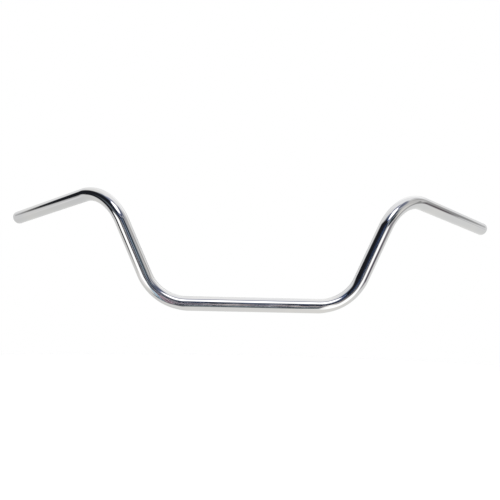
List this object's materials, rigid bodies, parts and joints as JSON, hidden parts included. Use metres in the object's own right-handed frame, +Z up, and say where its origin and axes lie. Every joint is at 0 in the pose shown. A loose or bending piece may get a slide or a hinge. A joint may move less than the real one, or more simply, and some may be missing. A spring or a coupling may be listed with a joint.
{
  "type": "motorcycle handlebar",
  "caption": "High-rise motorcycle handlebar bent from chromed steel tube, with a straight clamp section, leaning risers and open grip ends swept back.",
  "frame": {"origin": "middle of the straight clamp section, on the tube's axis", "axes": "+X along the clamp section, +Z up along the rise, +Y back towards the rider, the way the grips sweep. The rider faces -Y, so the rider's left hand is at +X. The clamp section and both risers lie in the XZ plane"},
  "size_m": [0.8772, 0.1755, 0.1964],
  "materials": {
    "chrome": "bright chrome plate on steel, mirror polished"
  },
  "bodies": {
    "root": {"handlebar_tube": "chrome"}
  },
  "joints": []
}
